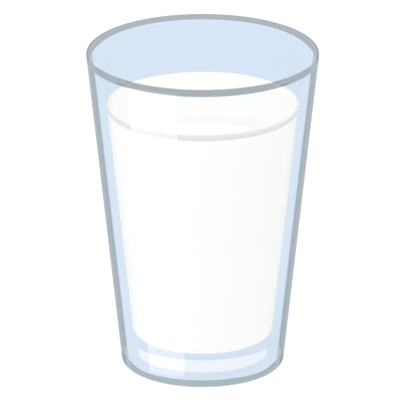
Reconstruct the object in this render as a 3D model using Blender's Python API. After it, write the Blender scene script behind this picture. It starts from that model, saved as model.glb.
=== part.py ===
"""A glass of milk: a tapered pressed-glass tumbler with a heavy base, and the milk that stands in it.

Metres, +Z up. The origin is the middle of the ring that the tumbler stands on. Both pieces are turned
about the Z axis from a profile of (radius, height) points.
"""

import math

import bmesh
import bpy
from mathutils import Matrix, Vector

# Driving dimensions of the tumbler
HEIGHT = 0.1205
RIM_RADIUS = 0.0425
FOOT_RADIUS = 0.0294  # where the outer wall's straight line would meet the table
LIP_THICKNESS = 0.0024
WALL_THICKNESS = 0.0054
LIP_HEIGHT = 0.017  # the wall thins to the lip over this height
BASE_THICKNESS = 0.0115
HEEL_RADIUS = 0.003
FILLET_RADIUS = 0.003  # inside, between the wall and the floor of the cavity
PUNT_RADIUS = 0.0215  # the shallow dome under the base
PUNT_DEPTH = 0.0018

# Driving dimensions of the milk
MILK_LEVEL = 0.099
MENISCUS_HEIGHT = 0.0013
MENISCUS_LENGTH = 0.0018  # the climb at the wall falls to a third over this distance
MENISCUS_REACH = 0.0070
FIT_GAP = 0.0003  # clearance between the milk and the glass

# Fineness of the turned meshes
TURN_STEPS = 72
LIP_STEPS = 5  # on each quarter of the round lip
CORNER_STEPS = 6
PUNT_STEPS = 6
THINNING_STEPS = 8
MENISCUS_STEPS = 7
POLE_MERGE = 1e-6

GLASS_COLOUR = (0.74, 0.83, 0.92)
GLASS_IOR = 1.5
GLASS_ROUGHNESS = 0.03
MILK_COLOUR = (0.97, 0.97, 0.945)
MILK_ROUGHNESS = 0.25


def arc(centre, radius, start, end, steps):
    """Points along a circle in the profile plane, from angle start to end, both included."""
    angles = [start + (end - start) * i / steps for i in range(steps + 1)]
    return [Vector((centre[0] + radius * math.cos(a), centre[1] + radius * math.sin(a))) for a in angles]


def ease(t):
    """Goes smoothly from 0 to 1 as t does."""
    t = min(max(t, 0.0), 1.0)
    return t * t * (3 - 2 * t)


class Wall:
    """The straight tapered wall, and what follows from it."""

    def __init__(self):
        self.lip_radius = LIP_THICKNESS / 2
        self.lip_centre = Vector((RIM_RADIUS - self.lip_radius, HEIGHT - self.lip_radius))
        # The outer line starts at the foot and is tangent to the round lip.
        to_lip = self.lip_centre - Vector((FOOT_RADIUS, 0))
        self.lean = math.asin(self.lip_radius / to_lip.length) + math.atan2(to_lip.x, to_lip.y)
        self.outward = Vector((math.cos(self.lean), -math.sin(self.lean)))
        self.upward = Vector((math.sin(self.lean), math.cos(self.lean)))
        self.length = (self.lip_centre + self.lip_radius * self.outward - Vector((FOOT_RADIUS, 0))).length

    def thickness(self, along):
        """Wall thickness at a distance along the outer line from the foot."""
        thinning = ease((along - (self.length - LIP_HEIGHT)) / LIP_HEIGHT)
        return WALL_THICKNESS + (LIP_THICKNESS - WALL_THICKNESS) * thinning

    def inner(self, along, gap=0.0):
        """The inner wall's point at that distance, moved into the cavity by gap."""
        return Vector((FOOT_RADIUS, 0)) + along * self.upward - (self.thickness(along) + gap) * self.outward

    def inner_at_height(self, height, gap=0.0):
        """The inner wall's point at a height in the straight part of the wall."""
        foot = self.inner(0, gap)
        return foot + (height - foot.y) / self.upward.y * self.upward

    def fillet(self, gap=0.0):
        """The round between wall and floor inside, from the wall down to the floor."""
        radius = FILLET_RADIUS - gap
        height = BASE_THICKNESS + gap + radius
        foot = self.inner(0, gap)
        inset = (height - foot.y) * math.sin(self.lean) - radius
        centre = Vector((foot.x + inset / math.cos(self.lean), height))
        return arc(centre, radius, -self.lean, -math.pi / 2, CORNER_STEPS)

    def heel(self):
        """The round between the resting ring and the outer wall."""
        inset = HEEL_RADIUS * (1 - math.sin(self.lean)) / math.cos(self.lean)
        centre = Vector((FOOT_RADIUS - inset, HEEL_RADIUS))
        return arc(centre, HEEL_RADIUS, -math.pi / 2, -self.lean, CORNER_STEPS)


def punt():
    """The dome under the base, from its middle out to the resting ring."""
    radius = (PUNT_RADIUS**2 + PUNT_DEPTH**2) / (2 * PUNT_DEPTH)
    half_angle = math.asin(PUNT_RADIUS / radius)
    centre = Vector((0, PUNT_DEPTH - radius))
    return arc(centre, radius, math.pi / 2, math.pi / 2 - half_angle, PUNT_STEPS)


def glass_profile(wall):
    """From the middle of the underside, up the outside, over the lip and down to the cavity's floor."""
    lip_turns = [(-wall.lean, 0, 1), (0, math.pi / 2, LIP_STEPS), (math.pi / 2, math.pi - wall.lean, LIP_STEPS)]
    lip = [point for turn in lip_turns for point in arc(wall.lip_centre, wall.lip_radius, *turn)[:-1]]
    thinned = [
        wall.inner(wall.length - LIP_HEIGHT * i / THINNING_STEPS) for i in range(THINNING_STEPS + 1)
    ]
    return [*punt(), *wall.heel(), *lip, *thinned, *wall.fillet(), Vector((0, BASE_THICKNESS))]


def milk_profile(wall):
    """From the middle of the milk's underside, up beside the wall, and back over the surface."""
    contact = wall.inner_at_height(MILK_LEVEL + MENISCUS_HEIGHT, FIT_GAP)
    meniscus = []
    for i in range(1, MENISCUS_STEPS + 1):
        distance = MENISCUS_REACH * (i / MENISCUS_STEPS) ** 2
        climb = MENISCUS_HEIGHT * math.exp(-distance / MENISCUS_LENGTH)
        meniscus.append(Vector((contact.x - distance, MILK_LEVEL + climb)))
    floor_middle = Vector((0, BASE_THICKNESS + FIT_GAP))
    surface_middle = Vector((0, MILK_LEVEL))
    return [floor_middle, *reversed(wall.fillet(FIT_GAP)), contact, *meniscus, surface_middle]


def principled(name, colour, roughness, transmission=0.0, ior=1.45):
    """A plain material with its colour in the viewport too."""
    material = bpy.data.materials.new(name)
    material.use_nodes = True
    shader = material.node_tree.nodes["Principled BSDF"]
    shader.inputs["Base Color"].default_value = (*colour, 1)
    shader.inputs["Metallic"].default_value = 0.0
    shader.inputs["Roughness"].default_value = roughness
    shader.inputs["Transmission Weight"].default_value = transmission
    shader.inputs["IOR"].default_value = ior
    material.diffuse_color = (*colour, 1)
    return material


def turned(name, profile, material):
    """An object turned about the Z axis from a profile whose two ends lie on the axis."""
    shape = bmesh.new()
    corners = [shape.verts.new((point.x, 0, point.y)) for point in profile]
    edges = [shape.edges.new(pair) for pair in zip(corners, corners[1:])]
    bmesh.ops.spin(
        shape,
        geom=corners + edges,
        cent=(0, 0, 0),
        axis=(0, 0, 1),
        angle=2 * math.pi,
        steps=TURN_STEPS,
        use_merge=True,
    )
    bmesh.ops.remove_doubles(shape, verts=shape.verts, dist=POLE_MERGE)
    bmesh.ops.recalc_face_normals(shape, faces=shape.faces)
    mesh = bpy.data.meshes.new(name)
    shape.to_mesh(mesh)
    shape.free()
    mesh.shade_smooth()
    mesh.set_sharp_from_angle(angle=math.radians(40))
    mesh.materials.append(material)
    made = bpy.data.objects.new(name, mesh)
    made.matrix_world = Matrix.Identity(4)
    bpy.context.scene.collection.objects.link(made)
    return made


def main():
    for old in list(bpy.data.objects):
        bpy.data.objects.remove(old)
    wall = Wall()
    clear_glass = principled("clear_glass", GLASS_COLOUR, GLASS_ROUGHNESS, transmission=1.0, ior=GLASS_IOR)
    fresh_milk = principled("fresh_milk", MILK_COLOUR, MILK_ROUGHNESS)
    turned("glass", glass_profile(wall), clear_glass)
    turned("milk", milk_profile(wall), fresh_milk)


main()
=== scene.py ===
"""The looks of a glass of milk: a clear, faintly blue tumbler with a heavy base, and the milk in it."""

import math

import bmesh
import bpy
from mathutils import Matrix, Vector


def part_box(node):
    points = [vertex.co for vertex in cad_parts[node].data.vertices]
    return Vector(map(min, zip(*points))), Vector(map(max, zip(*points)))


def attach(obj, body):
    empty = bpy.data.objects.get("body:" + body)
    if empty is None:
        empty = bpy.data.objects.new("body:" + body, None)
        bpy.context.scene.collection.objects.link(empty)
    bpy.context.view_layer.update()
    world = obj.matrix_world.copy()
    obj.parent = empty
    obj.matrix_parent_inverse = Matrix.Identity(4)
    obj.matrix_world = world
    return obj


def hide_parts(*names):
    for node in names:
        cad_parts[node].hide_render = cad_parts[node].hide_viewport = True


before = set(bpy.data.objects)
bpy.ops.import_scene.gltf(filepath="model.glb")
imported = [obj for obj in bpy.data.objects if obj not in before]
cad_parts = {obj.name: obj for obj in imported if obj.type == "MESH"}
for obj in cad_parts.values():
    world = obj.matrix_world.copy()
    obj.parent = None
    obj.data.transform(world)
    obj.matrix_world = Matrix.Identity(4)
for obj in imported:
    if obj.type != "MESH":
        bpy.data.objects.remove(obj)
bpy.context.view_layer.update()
glass_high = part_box("glass")[1]

# The tumbler, in metres. Height and rim come from the frame; the rest repeats the part's own sizes.
HEIGHT = glass_high[2]
RIM_RADIUS = glass_high[0]
FOOT_RADIUS = 0.0294  # where the outer wall's straight line would meet the table
LIP_THICKNESS = 0.0024
WALL_THICKNESS = 0.0054
LIP_HEIGHT = 0.017  # the wall thins to the lip over this height
BASE_THICKNESS = 0.0115
HEEL_RADIUS = 0.003
FILLET_RADIUS = 0.003  # inside, between the wall and the cavity's floor
PUNT_RADIUS = 0.0215  # the shallow dome under the base
PUNT_DEPTH = 0.0018

# How the tumbler's profile is rounded
RIM_INSET = 0.00001  # keeps the round lip inside the part's box
LIP_ROUNDING = 0.499  # on each side, as a share of the lip's thickness
PUNT_ROUNDING = 0.49  # as a share of the punt's radius
THIN_DEPTH = 0.3  # where the thin lip ends, below the rim, as a share of the lip's height
THICK_DEPTH = 0.8  # where the full wall starts, as the same share
THINNING_ROUNDING = 0.2  # of both those corners, as the same share

# The milk. The bend is where the meniscus leaves the wall, and the foot is where the surface is level.
MILK_LEVEL = 0.099
MENISCUS_HEIGHT = 0.0013
MENISCUS_BEND = 0.0007  # in from the wall
MENISCUS_BEND_HEIGHT = 0.0003
MENISCUS_BEND_ROUNDING = 0.0007
MENISCUS_FOOT = 0.0035  # in from the wall
MENISCUS_FOOT_ROUNDING = 0.002
INTO_WALL = 0.00005  # the milk reaches this far into the wall, so that no air shows

# The painted highlight in the heavy base: a thin white cone between two (radius, height) corners
GLINT_FOOT = (0.0243, 0.0046)
GLINT_TOP = (0.0285, 0.0111)
GLINT_THICKNESS = 0.0003

# How finely the pieces are turned and rounded
TURN_STEPS = 256
ROUND_SEGMENTS = 10
STRAIGHT_STEP = 0.002
SHARP_ANGLE = math.radians(35)
MERGE = 1e-6

# The glass's own look. A tint is what is left of white light that passes one surface.
GLASS_BEND = 1.0  # light passes straight on
GLASS_COAT_BEND = 1.5  # and is mirrored as by real glass
BODY_TINT = (0.680, 0.771, 0.888)
TINT_VARIATION = 0.04
TINT_CELLS = 90  # of noise, in a metre
FAR_WALL_SHARE = 0.2  # of the body's tint, on the inner wall
RIPPLE_CELLS = 60
RIPPLE_STRETCH = (1, 1, 0.25)  # drawn out up the wall
RIPPLE_HEIGHT = 0.0002
ABSORPTION_COLOUR = (0.0, 0.355, 0.735, 1)
ABSORPTION_DENSITY = 0.5

# The glass's bands. Each pair of numbers is where a soft edge starts and where it is complete. A turn is
# how far the surface is turned away from the viewer: 0 seen straight on, 1 seen edge on.
OUTER_WALL_DEPTH = LIP_THICKNESS / 2  # what lies this near to the outer line is the outer wall

EDGE_TINT_AND_SHADE = (0.484, 0.497, 0.496)  # of light that crosses the edge both ways: partly the glass's tint through more glass, partly painted shade for the dark edges of a real glass
EDGE_TURN = (0.617, 0.662)  # at the table
EDGE_TAPER = 0.49  # what each metre of height adds to it

# The dark lip band: partly the glass's tint through its thickness, partly painted shade for the dark rim
# of a real glass
LIP_TINT_AND_SHADE = (0.398, 0.438, 0.479)
LIP_DEPTHS = (0.0030, 0.0026)  # below the rim
CROWN_DEPTHS = (0.0002, 0.00005)  # the very top, which stays clear
SLANT_REACH = 0.0048  # how much lower the band reaches where light leaves edge on
SLANT_START = -0.0004  # and where it leaves straight

# Lighter painted shade on the lip, where the near lip no longer has the milk behind it, and where it no
# longer has the cavity behind it
TURNING_LIP_SHADE = (0.58, 0.58, 0.55)
TURNING_LIP_TURN = (0.13, 0.165)  # at the rim
TURNING_LIP_TAPER = 110  # what each metre below the rim adds to it
SIDE_LIP_SHADE = (0.82, 0.85, 0.87)
SIDE_LIP_TURN = (0.45, 0.49)  # at the rim
SIDE_LIP_TAPER = 176

# Painted shade round the heel, for its contact shadow
HEEL_PAINTED_SHADE = (0.583, 0.597, 0.565)
HEEL_HEIGHTS = (0.0038, 0.0034)  # from above
HEEL_RADII = (0.0255, 0.0262)  # from the axis outwards
HEEL_RISE = 0.0028  # how much higher the band reaches at the sides
HEEL_RISE_TURN = (0.35, 0.80)
HEEL_EDGE_LOSS = 0.4  # how much weaker it is under the edge's tint and painted shade

# How much less the rounded lip and heel, and the inner wall, mirror than the outer wall does
ROUND_DULLNESS = 0.85
INNER_DULLNESS = 0.8
DULL_LIP_DEPTHS = (0.0026, 0.0018)
DULL_HEEL_HEIGHTS = (0.0052, 0.0044)

# The milk's look
MILK_BEND = 1.35
FRESH_MILK = (0.972, 0.977, 0.943, 1)
CREAMIER_MILK = (0.972, 0.966, 0.926, 1)
CREAM_SHARE = 0.6
CREAM_CELLS = 35
SIDE_LIMIT = 0.6  # the milk's side starts at this share of its reach into the wall
OPEN_SURFACE_TINT = (1.0, 0.985, 0.955, 1)  # what the milk's colour is multiplied by there
# Painted shade: the grey band on the milk's side just under its meniscus
CONTACT_SHADE = (0.735, 0.735, 0.715, 1)
CONTACT_DEPTHS = (0.0012, 0.0008)  # below the milk's level

# The look of the painted highlight in the base
GLINT_OPACITY = 0.56
GLINT_BLUR = 0.0005  # of its upper edge
GLINT_FADE_TURN = (0.97, 0.93)
GLINT_NARROWING_TURN = (0.72, 0.96)  # over this it loses all of its height

# The studio
FLOOR_GAP = 0.0003  # keeps the floor clear of the ring that the tumbler stands on
FLOOR_RADIUS = 12
FLOOR_GREY = 0.35
FLOOR_GLOW = 0.65
MIRRORED_GROUND = (0.56, 0.61, 0.65, 1)
MIRRORED_HORIZON = (-0.05, 0.15)
LAMP_PLACE = (-0.5, -0.5, 1.4)
LAMP_AIM = (0, 0, 0.06)
LAMP_SIZE = 1.2
LAMP_WATTS = 4

# The strip softbox: degrees to the left of the camera's side, degrees above level, and metres away
STRIP_LEFT = 84
STRIP_RIGHT = 27
STRIP_LOW = -41
STRIP_HIGH = -25
STRIP_DISTANCE = 2.5
STRIP_STEPS = 12
STRIP_COLOUR = (0.97, 0.85, 0.73, 1)
STRIP_STRENGTH = 3.7

# The camera, at the picture's viewing angle
IMAGE_SIDE = 400
VIEW_ELEVATION = math.radians(19.77)
VIEW_DISTANCE = 6.0
VIEW_WIDTH = 0.1463  # what the frame is wide at that distance
AIM_HEIGHT = 0.0629
GLASS_AXIS_PIXEL = 202.7  # the column of the picture that the glass's axis stands in


def wall_lean():
    """The tangent of the outer wall's lean from upright."""
    return (RIM_RADIUS - FOOT_RADIUS) / (HEIGHT - LIP_THICKNESS / 2)


def outer_radius(height):
    return FOOT_RADIUS + wall_lean() * height


def inner_radius(height, thickness=WALL_THICKNESS):
    return outer_radius(height) - thickness * math.sqrt(1 + wall_lean() ** 2)


def corner_reach(radius):
    """How far from the corner of wall and floor a round of that radius starts."""
    return radius / math.tan((math.pi / 2 + math.atan(wall_lean())) / 2)


def placed(name, shape):
    """An object in the scene, made from a finished bmesh."""
    mesh = bpy.data.meshes.new(name)
    shape.to_mesh(mesh)
    shape.free()
    piece = bpy.data.objects.new(name, mesh)
    bpy.context.scene.collection.objects.link(piece)
    return piece


def turned(name, corners, closed=False):
    """A piece turned about Z from corners of (radius, height, reach of the corner's rounding)."""
    shape = bmesh.new()
    verts = [shape.verts.new((radius, 0, height)) for radius, height, _ in corners]
    for pair in zip(verts, verts[1:] + verts[:1] * closed):
        shape.edges.new(pair)
    for vert, (_, _, reach) in zip(verts, corners):
        if reach:
            bmesh.ops.bevel(
                shape,
                geom=[vert],
                offset=reach,
                offset_type="OFFSET",
                segments=ROUND_SEGMENTS,
                profile=0.5,
                affect="VERTICES",
                material=-1,
            )
    bmesh.ops.remove_doubles(shape, verts=shape.verts, dist=MERGE)
    for edge in shape.edges[:]:
        cuts = int(edge.calc_length() / STRAIGHT_STEP)
        if cuts:
            bmesh.ops.subdivide_edges(shape, edges=[edge], cuts=cuts)
    bmesh.ops.spin(
        shape,
        geom=shape.verts[:] + shape.edges[:],
        cent=(0, 0, 0),
        axis=(0, 0, 1),
        angle=math.tau,
        steps=TURN_STEPS,
        use_merge=True,
    )
    bmesh.ops.remove_doubles(shape, verts=shape.verts, dist=MERGE)
    bmesh.ops.recalc_face_normals(shape, faces=shape.faces)
    piece = placed(name, shape)
    piece.data.shade_smooth()
    piece.data.set_sharp_from_angle(angle=SHARP_ANGLE)
    return piece


def make_glass():
    """The tumbler: hollow underside, round heel, straight wall, round lip, filleted floor."""
    lip = LIP_ROUNDING * LIP_THICKNESS
    thinning = THINNING_ROUNDING * LIP_HEIGHT
    rim = outer_radius(HEIGHT) - RIM_INSET
    thin_height = HEIGHT - THIN_DEPTH * LIP_HEIGHT
    thick_height = HEIGHT - THICK_DEPTH * LIP_HEIGHT
    return turned(
        "tumbler",
        [
            (0, PUNT_DEPTH, 0),
            (PUNT_RADIUS / 2, PUNT_DEPTH, PUNT_ROUNDING * PUNT_RADIUS),
            (PUNT_RADIUS, 0, 0),
            (FOOT_RADIUS, 0, corner_reach(HEEL_RADIUS)),
            (rim, HEIGHT, lip),
            (rim - LIP_THICKNESS, HEIGHT, lip),
            (inner_radius(thin_height, LIP_THICKNESS), thin_height, thinning),
            (inner_radius(thick_height), thick_height, thinning),
            (inner_radius(BASE_THICKNESS), BASE_THICKNESS, corner_reach(FILLET_RADIUS)),
            (0, BASE_THICKNESS, 0),
        ],
    )


def make_milk():
    """The milk: it fills the cavity up to its level and climbs the wall in a small meniscus."""
    top = MILK_LEVEL + MENISCUS_HEIGHT
    floor = BASE_THICKNESS - INTO_WALL
    wall = inner_radius(top) + INTO_WALL
    return turned(
        "fresh_milk",
        [
            (0, floor, 0),
            (inner_radius(floor) + INTO_WALL, floor, corner_reach(FILLET_RADIUS)),
            (wall, top, 0),
            (wall - MENISCUS_BEND, MILK_LEVEL + MENISCUS_BEND_HEIGHT, MENISCUS_BEND_ROUNDING),
            (wall - MENISCUS_FOOT, MILK_LEVEL, MENISCUS_FOOT_ROUNDING),
            (0, MILK_LEVEL, 0),
        ],
    )


def make_glint():
    """A painted highlight: the bright ring that light draws in a heavy base, as a thin white cone inside
    the glass.
    """
    (low_radius, low_height), (high_radius, high_height) = GLINT_FOOT, GLINT_TOP
    side = GLINT_THICKNESS / math.sqrt(2)
    return turned(
        "base_glint",
        [
            (low_radius, low_height, 0),
            (high_radius, high_height, 0),
            (high_radius - side, high_height + side, 0),
            (low_radius - side, low_height + side, 0),
        ],
        closed=True,
    )


class Graph:
    """The nodes of a material or of the world, with short ways to add to them.

    A mask is a number from 0, where something isn't, to 1, where it is.
    """

    def __init__(self, owner, shader="Principled BSDF", output="Material Output"):
        owner.use_nodes = True
        self.owner = owner
        self.nodes = owner.node_tree.nodes
        self.link = owner.node_tree.links.new
        self.shader = self.nodes[shader]
        self.output = self.nodes[output]

    def feed(self, socket, source):
        """Links a socket to another node's output, or sets it to a plain value."""
        if isinstance(source, bpy.types.NodeSocket):
            self.link(source, socket)
        else:
            socket.default_value = source

    def set(self, **values):
        """Plain values on the shader's own sockets."""
        for name, value in values.items():
            self.shader.inputs[name.replace("_", " ")].default_value = value

    def math(self, operation, *sources):
        node = self.nodes.new("ShaderNodeMath")
        node.operation = operation
        for socket, source in zip(node.inputs, sources):
            self.feed(socket, source)
        return node.outputs["Value"]

    def both(self, first, second):
        """Where two masks overlap, or one mask weakened by a share."""
        return self.math("MULTIPLY", first, second)

    def either(self, first, second):
        return self.math("MAXIMUM", first, second)

    def opposite(self, mask):
        return self.math("SUBTRACT", 1, mask)

    def scaled(self, value, factor, added):
        """The value times a factor, and something added."""
        return self.math("MULTIPLY_ADD", value, factor, added)

    def step(self, value, start, end, kind="SMOOTHSTEP"):
        """Goes from 0 at start to 1 at end."""
        node = self.nodes.new("ShaderNodeMapRange")
        node.interpolation_type = kind
        self.feed(node.inputs["Value"], value)
        node.inputs["From Min"].default_value = start
        node.inputs["From Max"].default_value = end
        return node.outputs["Result"]

    def blend(self, kind, share, first, second):
        """Two colours blended, such as by MULTIPLY or MIX."""
        node = self.nodes.new("ShaderNodeMix")
        node.data_type = "RGBA"
        node.blend_type = kind
        sockets = [socket for socket in node.inputs if socket.type == "RGBA"]
        self.feed(node.inputs["Factor"], share)
        self.feed(sockets[0], first)
        self.feed(sockets[1], second)
        return next(socket for socket in node.outputs if socket.type == "RGBA")

    def coordinates(self, kind="Object"):
        return self.nodes.new("ShaderNodeTexCoord").outputs[kind]

    def parts(self, vector):
        """The X, Y and Z of a vector."""
        node = self.nodes.new("ShaderNodeSeparateXYZ")
        self.link(vector, node.inputs[0])
        return node.outputs

    def place(self):
        """Distance from the axis and height of the shaded point."""
        x, y, height = self.parts(self.coordinates())
        square = self.scaled(x, x, self.math("MULTIPLY", y, y))
        return self.math("SQRT", square), height

    def facing(self):
        """How far the surface is turned away: 0 seen straight on, 1 seen edge on."""
        node = self.nodes.new("ShaderNodeLayerWeight")
        node.inputs["Blend"].default_value = 0.5
        return node.outputs["Facing"]

    def backfacing(self):
        return self.nodes.new("ShaderNodeNewGeometry").outputs["Backfacing"]

    def light_path(self):
        return self.nodes.new("ShaderNodeLightPath").outputs

    def noise(self, cells, detail, stretch=(1, 1, 1)):
        """Smooth noise on Object coordinates, with that many cells in a metre."""
        mapping = self.nodes.new("ShaderNodeMapping")
        mapping.inputs["Scale"].default_value = stretch
        self.link(self.coordinates(), mapping.inputs["Vector"])
        node = self.nodes.new("ShaderNodeTexNoise")
        self.link(mapping.outputs["Vector"], node.inputs["Vector"])
        node.inputs["Scale"].default_value = cells
        node.inputs["Detail"].default_value = detail
        return node.outputs["Fac"]

    def bump(self, height, distance):
        node = self.nodes.new("ShaderNodeBump")
        node.inputs["Distance"].default_value = distance
        self.link(height, node.inputs["Height"])
        return node.outputs["Normal"]

    def clear(self):
        """A shader that light passes unchanged."""
        return self.nodes.new("ShaderNodeBsdfTransparent").outputs["BSDF"]

    def mix_shaders(self, share, first, second):
        node = self.nodes.new("ShaderNodeMixShader")
        self.feed(node.inputs["Fac"], share)
        self.link(first, node.inputs[1])
        self.link(second, node.inputs[2])
        return node.outputs["Shader"]

    def finish(self, shader):
        """Sends the shader to the output, and gives the material or the world back."""
        self.link(shader, self.output.inputs["Surface"])
        return self.owner


def squared(tint):
    """A surface tints light by the root of its colour, because it expects to be crossed twice."""
    return (*(c * c for c in tint), 1)


def below(level, depths):
    """Heights at those depths below a level."""
    return [level - depth for depth in depths]


def foot_radius(graph, radius, height):
    """The point's distance from the axis once it is followed down to the table along the wall's lean."""
    return graph.scaled(height, -wall_lean(), radius)


class GlassPoint:
    """A shaded point of the tumbler: where it lies, and how light meets the surface there."""

    def __init__(self, graph):
        self.graph = graph
        self.radius, self.height = graph.place()
        followed_down = foot_radius(graph, self.radius, self.height)
        self.outer_wall = graph.math("GREATER_THAN", followed_down, FOOT_RADIUS - OUTER_WALL_DEPTH)
        self.inner_wall = graph.opposite(self.outer_wall)
        self.leaving = graph.backfacing()
        self.entering = graph.opposite(self.leaving)
        self.lip_top = graph.step(self.height, *below(HEIGHT, DULL_LIP_DEPTHS))
        self.away = graph.facing()
        turned_off = graph.scaled(self.height, -EDGE_TAPER, self.away)
        # Where painted shade darkens the outer wall as it turns edge on
        self.edge = graph.both(graph.step(turned_off, *EDGE_TURN), self.outer_wall)

    def turned_past(self, turn, taper):
        """Where the surface is turned away further than turn, which grows from the rim down."""
        start, end = (taper * HEIGHT + limit for limit in turn)
        return self.graph.step(self.graph.scaled(self.height, taper, self.away), start, end)


def with_body_tint(graph, point):
    """The body's tint lies where light leaves through the wall, so milk behind one wall stays white.

    The underside has it too, and the inner wall a share of it where light enters there, which is only
    on the far side.
    """
    underside = graph.both(point.inner_wall, graph.math("LESS_THAN", point.height, BASE_THICKNESS / 2))
    tinted = graph.either(graph.both(point.leaving, point.outer_wall), underside)
    far_wall = graph.both(graph.both(point.inner_wall, point.entering), FAR_WALL_SHARE)
    tinted = graph.either(tinted, graph.both(far_wall, graph.opposite(point.lip_top)))
    uneven = graph.scaled(graph.noise(TINT_CELLS, detail=2), -TINT_VARIATION, 1 + TINT_VARIATION / 2)
    body = graph.blend("MULTIPLY", 1.0, squared(BODY_TINT), uneven)
    return graph.blend("MULTIPLY", tinted, (1, 1, 1, 1), body)


def with_lip_tint_and_shade(graph, point, colour):
    """A dark band round the lip, partly the glass's tint and partly painted shade. It reaches lower
    where light leaves at a slant, after more glass.
    """
    slant = graph.scaled(graph.math("POWER", point.away, 2), SLANT_REACH, SLANT_START)
    lip_edge = graph.scaled(point.leaving, slant, point.height)
    lip = graph.both(graph.step(lip_edge, *below(HEIGHT, LIP_DEPTHS)), point.outer_wall)
    crown = graph.both(graph.step(point.height, *below(HEIGHT, CROWN_DEPTHS)), point.entering)
    lip = graph.both(lip, graph.opposite(crown))
    turning = graph.both(point.turned_past(TURNING_LIP_TURN, TURNING_LIP_TAPER), point.entering)
    tint = graph.blend("MIX", turning, squared(LIP_TINT_AND_SHADE), squared(TURNING_LIP_SHADE))
    sideways = graph.either(point.turned_past(SIDE_LIP_TURN, SIDE_LIP_TAPER), point.edge)
    tint = graph.blend("MIX", graph.both(sideways, point.entering), tint, squared(SIDE_LIP_SHADE))
    return graph.blend("MIX", lip, colour, tint)


def with_heel_shade(graph, point, colour):
    """Painted shade: a dark band round the heel, for its contact shadow and the dark line its bending
    gives, where light enters. It reaches higher at the sides.
    """
    rise = graph.step(point.away, *HEEL_RISE_TURN)
    low = graph.step(graph.scaled(rise, -HEEL_RISE, point.height), *HEEL_HEIGHTS)
    low = graph.both(low, graph.step(point.radius, *HEEL_RADII))
    low = graph.both(low, graph.scaled(point.edge, -HEEL_EDGE_LOSS, 1))
    return graph.blend("MIX", graph.both(low, point.entering), colour, squared(HEEL_PAINTED_SHADE))


def add_gloss(graph, point):
    """Reflections on the side that light enters by, with slight ripples."""
    rounded = graph.either(point.lip_top, graph.step(point.height, *DULL_HEEL_HEIGHTS))
    dull = graph.either(
        graph.both(rounded, ROUND_DULLNESS), graph.both(point.inner_wall, INNER_DULLNESS)
    )
    shine = graph.both(point.entering, graph.opposite(dull))
    graph.link(shine, graph.shader.inputs["Coat Weight"])
    ripples = graph.bump(graph.noise(RIPPLE_CELLS, detail=1, stretch=RIPPLE_STRETCH), RIPPLE_HEIGHT)
    graph.link(ripples, graph.shader.inputs["Coat Normal"])


def glass_material():
    """Clear glass with a faint blue tint, and painted shade at its edges, lip and heel. Lamps and
    diffuse light pass straight through it.
    """
    graph = Graph(bpy.data.materials.new("clear_blue_glass"))
    graph.set(Transmission_Weight=1.0, IOR=GLASS_BEND, Roughness=0.0)
    graph.set(Coat_IOR=GLASS_COAT_BEND, Coat_Roughness=0.02)
    point = GlassPoint(graph)
    colour = with_body_tint(graph, point)
    # Painted shade along the sides, where the wall turns edge on
    colour = graph.blend("MULTIPLY", point.edge, colour, (*EDGE_TINT_AND_SHADE, 1))
    colour = with_lip_tint_and_shade(graph, point, colour)
    colour = with_heel_shade(graph, point, colour)
    graph.link(colour, graph.shader.inputs["Base Color"])
    add_gloss(graph, point)

    depth = graph.nodes.new("ShaderNodeVolumeAbsorption")
    depth.inputs["Color"].default_value = ABSORPTION_COLOUR
    depth.inputs["Density"].default_value = ABSORPTION_DENSITY
    graph.link(depth.outputs["Volume"], graph.output.inputs["Volume"])

    path = graph.light_path()
    passing = graph.either(path["Is Shadow Ray"], path["Is Diffuse Ray"])
    return graph.finish(graph.mix_shaders(passing, graph.shader.outputs["BSDF"], graph.clear()))


def milk_material():
    """Fresh milk: white, a little deep, with a grey band of painted shade along its contact with the
    wall, for the meniscus's dark line.
    """
    graph = Graph(bpy.data.materials.new("white_milk"))
    graph.set(Roughness=0.25, IOR=MILK_BEND, Specular_IOR_Level=0.15)
    graph.set(Coat_IOR=MILK_BEND, Coat_Roughness=0.08)
    graph.set(Subsurface_Weight=0.3, Subsurface_Scale=0.002)
    graph.set(Subsurface_Radius=(1.0, 0.96, 0.92))
    radius, height = graph.place()
    side_line = inner_radius(0) + SIDE_LIMIT * INTO_WALL
    side = graph.math("GREATER_THAN", foot_radius(graph, radius, height), side_line)
    upper = graph.math("GREATER_THAN", height, MILK_LEVEL / 2)
    open_surface = graph.both(upper, graph.opposite(side))
    graph.link(open_surface, graph.shader.inputs["Coat Weight"])
    # Painted shade along the milk's contact with the wall
    painted_contact = graph.both(side, graph.step(height, *below(MILK_LEVEL, CONTACT_DEPTHS)))
    cream = graph.both(graph.noise(CREAM_CELLS, detail=3), CREAM_SHARE)
    colour = graph.blend("MIX", cream, FRESH_MILK, CREAMIER_MILK)
    # The open surface mirrors the blue wall behind it, and is a touch creamier for that.
    colour = graph.blend("MULTIPLY", open_surface, colour, OPEN_SURFACE_TINT)
    colour = graph.blend("MIX", painted_contact, colour, CONTACT_SHADE)
    graph.link(colour, graph.shader.inputs["Base Color"])
    return graph.owner


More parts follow.
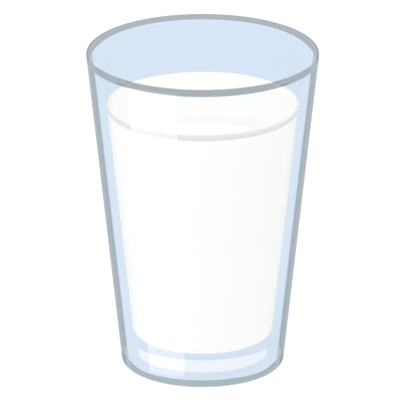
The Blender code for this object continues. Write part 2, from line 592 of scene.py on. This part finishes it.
def glint_material():
    """A painted highlight, white for light caught in the base. It shows from outside only, and narrows
    where it turns edge on.
    """
    graph = Graph(bpy.data.materials.new("painted_base_glint"))
    graph.set(Base_Color=(1, 1, 1, 1), Roughness=1.0, Specular_IOR_Level=0.0)
    (foot, low), (top, high) = GLINT_FOOT, GLINT_TOP
    radius, height = graph.place()
    away = graph.facing()
    narrowing = graph.step(away, *GLINT_NARROWING_TURN)
    below_edge = graph.step(graph.scaled(narrowing, high - low, height), high, high - GLINT_BLUR)
    shown = graph.both(graph.step(away, *GLINT_FADE_TURN), below_edge)
    # The cone's outer face lies further out than the middle of its thickness.
    flare = (top - foot) / (high - low)
    middle = foot - flare * low - GLINT_THICKNESS / 2
    outer_face = graph.math("GREATER_THAN", graph.scaled(height, -flare, radius), middle)
    seen_from_outside = graph.math("SUBTRACT", outer_face, graph.backfacing())
    opacity = graph.both(graph.both(shown, seen_from_outside), GLINT_OPACITY)
    opacity.node.use_clamp = True
    return graph.finish(graph.mix_shaders(opacity, graph.clear(), graph.shader.outputs["BSDF"]))


def floor_material():
    graph = Graph(bpy.data.materials.new("pale_floor"))
    graph.set(Base_Color=(FLOOR_GREY, FLOOR_GREY, FLOOR_GREY, 1), Roughness=0.9)
    graph.set(Emission_Color=(1, 1, 1, 1), Emission_Strength=FLOOR_GLOW)
    return graph.owner


def make_floor():
    shape = bmesh.new()
    bmesh.ops.create_circle(shape, cap_ends=True, segments=64, radius=FLOOR_RADIUS)
    bmesh.ops.translate(shape, vec=(0, 0, -FLOOR_GAP), verts=shape.verts)
    floor = placed("floor", shape)
    floor.data.materials.append(floor_material())
    floor.visible_glossy = False


def make_world():
    """White light from all sides. What mirrors it sees a grey-blue ground below the horizon."""
    world = bpy.data.worlds.new("studio")
    bpy.context.scene.world = world
    graph = Graph(world, shader="Background", output="World Output")
    graph.set(Color=(1, 1, 1, 1), Strength=1.0)
    rise = graph.parts(graph.coordinates("Generated"))["Z"]
    sky = graph.step(rise, *MIRRORED_HORIZON, kind="LINEAR")
    mirrored = graph.nodes.new("ShaderNodeBackground")
    graph.link(graph.blend("MIX", sky, MIRRORED_GROUND, (1, 1, 1, 1)), mirrored.inputs["Color"])
    glossy = graph.light_path()["Is Glossy Ray"]
    graph.finish(graph.mix_shaders(glossy, graph.shader.outputs[0], mirrored.outputs[0]))


def make_lamp():
    """A weak soft lamp from above."""
    light = bpy.data.lights.new("soft_top", "AREA")
    light.shape = "DISK"
    light.size = LAMP_SIZE
    light.energy = LAMP_WATTS
    lamp = bpy.data.objects.new("soft_top", light)
    lamp.location = LAMP_PLACE
    lamp.rotation_euler = (lamp.location - Vector(LAMP_AIM)).to_track_quat("Z", "Y").to_euler()
    bpy.context.scene.collection.objects.link(lamp)


def strip_corner(turn, rise):
    """A corner of the strip: turn is degrees to the left of the camera's side, rise above level."""
    turn, rise = math.radians(turn), math.radians(rise)
    ahead = STRIP_DISTANCE * math.cos(rise)
    return -ahead * math.sin(turn), -ahead * math.cos(turn), STRIP_DISTANCE * math.sin(rise)


def make_strip():
    """A curved bright panel that only reflections show."""
    shape = bmesh.new()
    ends = [shape.verts.new(strip_corner(STRIP_LEFT, rise)) for rise in (STRIP_LOW, STRIP_HIGH)]
    edge = shape.edges.new(ends)
    bmesh.ops.spin(
        shape,
        geom=[*ends, edge],
        cent=(0, 0, 0),
        axis=(0, 0, 1),
        angle=math.radians(STRIP_LEFT - STRIP_RIGHT),
        steps=STRIP_STEPS,
    )
    panel = placed("strip_softbox", shape)
    graph = Graph(bpy.data.materials.new("strip_softbox"))
    glow = graph.nodes.new("ShaderNodeEmission")
    glow.inputs["Color"].default_value = STRIP_COLOUR
    glow.inputs["Strength"].default_value = STRIP_STRENGTH
    panel.data.materials.append(graph.finish(glow.outputs[0]))
    panel.visible_camera = False
    panel.visible_diffuse = False
    panel.visible_transmission = False
    panel.visible_shadow = False
    panel.visible_volume_scatter = False


def make_camera():
    """The picture's view: from above at a long distance, the glass a little right of the middle."""
    lens = bpy.data.cameras.new("camera")
    lens.angle = 2 * math.atan(VIEW_WIDTH / 2 / VIEW_DISTANCE)
    camera = bpy.data.objects.new("camera", lens)
    aside = (GLASS_AXIS_PIXEL - IMAGE_SIDE / 2) * VIEW_WIDTH / IMAGE_SIDE
    aim = Vector((-aside, 0, AIM_HEIGHT))
    back = Vector((0, -math.cos(VIEW_ELEVATION), math.sin(VIEW_ELEVATION)))
    camera.location = aim + VIEW_DISTANCE * back
    camera.rotation_euler = back.to_track_quat("Z", "Y").to_euler()
    bpy.context.scene.collection.objects.link(camera)
    bpy.context.scene.camera = camera


def dress(piece, material, slot, *nodes):
    """Gives a piece its material, and puts it in the place of CAD nodes. The slot is not used."""
    piece.data.materials.append(material)
    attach(piece, "root")
    if nodes:
        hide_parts(*nodes)


make_camera()
dress(make_glass(), glass_material(), "clear_glass", "glass")
dress(make_milk(), milk_material(), "fresh_milk", "milk")
dress(make_glint(), glint_material(), "clear_glass")
make_floor()
make_world()
make_lamp()
make_strip()
bpy.context.scene.view_settings.view_transform = "Standard"
